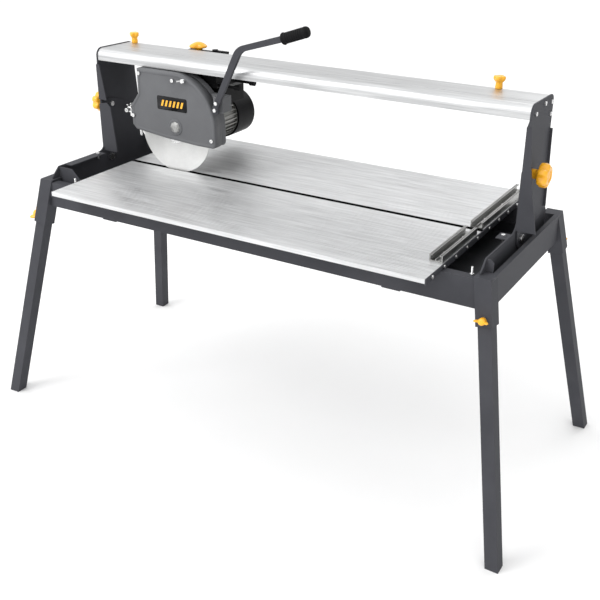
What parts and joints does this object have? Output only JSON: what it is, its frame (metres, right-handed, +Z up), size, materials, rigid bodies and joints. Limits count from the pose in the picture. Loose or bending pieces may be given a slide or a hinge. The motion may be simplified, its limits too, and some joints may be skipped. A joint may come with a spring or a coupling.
{
  "type": "bridge tile cutter",
  "caption": "Bridge tile cutter with a guarded diamond blade and motor on a tilting aluminium rail, over a ribbed split table on a grey steel frame with splayed legs",
  "frame": {"origin": "on the floor, under the middle of the four feet", "axes": "X along the rail, to the right of someone who faces the machine; Y to the rear; Z up"},
  "size_m": [1.6638, 0.7796, 1.1802],
  "materials": {
    "grey_paint": "satin",
    "guard_paint": "satin",
    "aluminium": "satin",
    "cast_aluminium": "matte",
    "bright_steel": "polished",
    "blade_steel": "satin",
    "yellow_plastic": "gloss",
    "black_plastic": "matte",
    "black_rubber": "matte",
    "bronze": "satin"
  },
  "bodies": {
    "frame": {"front_beam": "grey_paint", "rear_beam": "grey_paint", "left_beam": "grey_paint", "right_beam": "grey_paint", "socket_front_left": "grey_paint", "socket_front_right": "grey_paint", "socket_rear_left": "grey_paint", "socket_rear_right": "grey_paint", "cross_members": "grey_paint", "water_tray": "black_plastic", "table_front": "aluminium", "table_rear": "aluminium", "table_end_bars": "grey_paint", "table_screws": "bright_steel", "fence_front": "aluminium", "fence_rear": "aluminium", "bracket_left": "grey_paint", "bracket_right": "grey_paint", "bracket_bolts": "bright_steel", "tilt_bolts": "bright_steel"},
    "bridge": {"arm_left": "grey_paint", "arm_right": "grey_paint", "rail": "aluminium", "guide_rods": "bright_steel", "rail_screws": "bright_steel"},
    "saw_head": {"carriage": "black_plastic", "bushings": "bronze", "buffers": "black_rubber", "head_bracket": "grey_paint", "guard_back": "guard_paint", "guard_cover": "guard_paint", "guard_screws": "bright_steel", "motor_body": "cast_aluminium", "bearings": "bright_steel", "fan_cowl": "black_plastic", "switch_box": "black_plastic", "handle_bar": "grey_paint", "handle_grip": "black_rubber", "water_valve": "bright_steel"},
    "spindle": {"blade": "blade_steel", "blade_flanges": "bright_steel", "arbor_nut": "bright_steel", "rotor_shaft": "bright_steel", "cooling_fan": "yellow_plastic"},
    "rail_knob_left": {"rail_knob_left": "yellow_plastic"},
    "rail_knob_right": {"rail_knob_right": "yellow_plastic"},
    "tilt_knob_left": {"tilt_knob_left": "yellow_plastic"},
    "tilt_knob_right": {"tilt_knob_right": "yellow_plastic"},
    "carriage_knob": {"carriage_knob": "yellow_plastic"},
    "travel_lever": {"travel_lever": "black_plastic"},
    "switch_rocker": {"switch_rocker": "black_plastic"},
    "water_tap": {"water_tap": "bright_steel"},
    "leg_front_left": {"leg_front_left": "grey_paint"},
    "leg_front_right": {"leg_front_right": "grey_paint"},
    "leg_rear_left": {"leg_rear_left": "grey_paint"},
    "leg_rear_right": {"leg_rear_right": "grey_paint"},
    "leg_knob_front_left": {"leg_knob_front_left": "yellow_plastic"},
    "leg_knob_front_right": {"leg_knob_front_right": "yellow_plastic"},
    "leg_knob_rear_left": {"leg_knob_rear_left": "yellow_plastic"},
    "leg_knob_rear_right": {"leg_knob_rear_right": "yellow_plastic"}
  },
  "joints": [
    {"name": "bridge_tilt", "type": "hinge", "parent": "frame", "child": "bridge", "pos_m": [0, 0, 0.712], "axis": [1, 0, 0], "range_deg": [0, 45]},
    {"name": "head_travel", "type": "slide", "parent": "bridge", "child": "saw_head", "axis": [1, 0, 0], "range_m": [-0.04, 0.85]},
    {"name": "blade_spin", "type": "hinge", "parent": "saw_head", "child": "spindle", "pos_m": [-0.4, 0, 0.831], "axis": [0, 1, 0], "continuous": true},
    {"name": "tilt_knob_left_turn", "type": "hinge", "parent": "frame", "child": "tilt_knob_left", "pos_m": [-0.6767, 0.02, 0.876], "axis": [-1, 0, 0], "range_deg": [0, 180]},
    {"name": "tilt_knob_right_turn", "type": "hinge", "parent": "frame", "child": "tilt_knob_right", "pos_m": [0.6767, 0.02, 0.876], "axis": [1, 0, 0], "range_deg": [0, 180]},
    {"name": "rail_knob_left_turn", "type": "hinge", "parent": "bridge", "child": "rail_knob_left", "pos_m": [-0.645, 0.126, 1.0463], "axis": [0, 0, 1], "range_deg": [0, 180]},
    {"name": "rail_knob_right_turn", "type": "hinge", "parent": "bridge", "child": "rail_knob_right", "pos_m": [0.54, 0.126, 1.0463], "axis": [0, 0, 1], "range_deg": [0, 180]},
    {"name": "carriage_knob_turn", "type": "hinge", "parent": "saw_head", "child": "carriage_knob", "pos_m": [-0.432, 0.17, 1.0384], "axis": [0, 0, 1], "range_deg": [0, 180]},
    {"name": "travel_lever_turn", "type": "hinge", "parent": "saw_head", "child": "travel_lever", "pos_m": [-0.37, 0.17, 1.0384], "axis": [0, 0, 1], "range_deg": [0, 90]},
    {"name": "switch_rock", "type": "hinge", "parent": "saw_head", "child": "switch_rocker", "pos_m": [-0.334, 0.176, 0.937], "axis": [1, 0, 0], "range_deg": [0, 16]},
    {"name": "water_tap_turn", "type": "hinge", "parent": "saw_head", "child": "water_tap", "pos_m": [-0.55, -0.02, 0.8923], "axis": [0, 0, -1], "range_deg": [0, 90]},
    {"name": "leg_front_left_slide", "type": "slide", "parent": "frame", "child": "leg_front_left", "axis": [-0.1827, -0.1675, -0.9688], "range_m": [0, 0.06]},
    {"name": "leg_knob_front_left_turn", "type": "hinge", "parent": "frame", "child": "leg_knob_front_left", "pos_m": [-0.72511, -0.27105, 0.58804], "axis": [-0.9827, 0, 0.1853], "range_deg": [0, 180]},
    {"name": "leg_front_right_slide", "type": "slide", "parent": "frame", "child": "leg_front_right", "axis": [0.1827, -0.1675, -0.9688], "range_m": [0, 0.06]},
    {"name": "leg_knob_front_right_turn", "type": "hinge", "parent": "frame", "child": "leg_knob_front_right", "pos_m": [0.69944, -0.28774, 0.61085], "axis": [-0.031, -0.9859, 0.1646], "range_deg": [0, 180]},
    {"name": "leg_rear_left_slide", "type": "slide", "parent": "frame", "child": "leg_rear_left", "axis": [-0.1827, 0.1675, -0.9688], "range_m": [0, 0.06]},
    {"name": "leg_knob_rear_left_turn", "type": "hinge", "parent": "frame", "child": "leg_knob_rear_left", "pos_m": [-0.72511, 0.27105, 0.58804], "axis": [-0.9827, 0, 0.1853], "range_deg": [0, 180]},
    {"name": "leg_rear_right_slide", "type": "slide", "parent": "frame", "child": "leg_rear_right", "axis": [0.1827, 0.1675, -0.9688], "range_m": [0, 0.06]},
    {"name": "leg_knob_rear_right_turn", "type": "hinge", "parent": "frame", "child": "leg_knob_rear_right", "pos_m": [0.69944, 0.28774, 0.61085], "axis": [-0.031, 0.9859, 0.1646], "range_deg": [0, 180]}
  ]
}
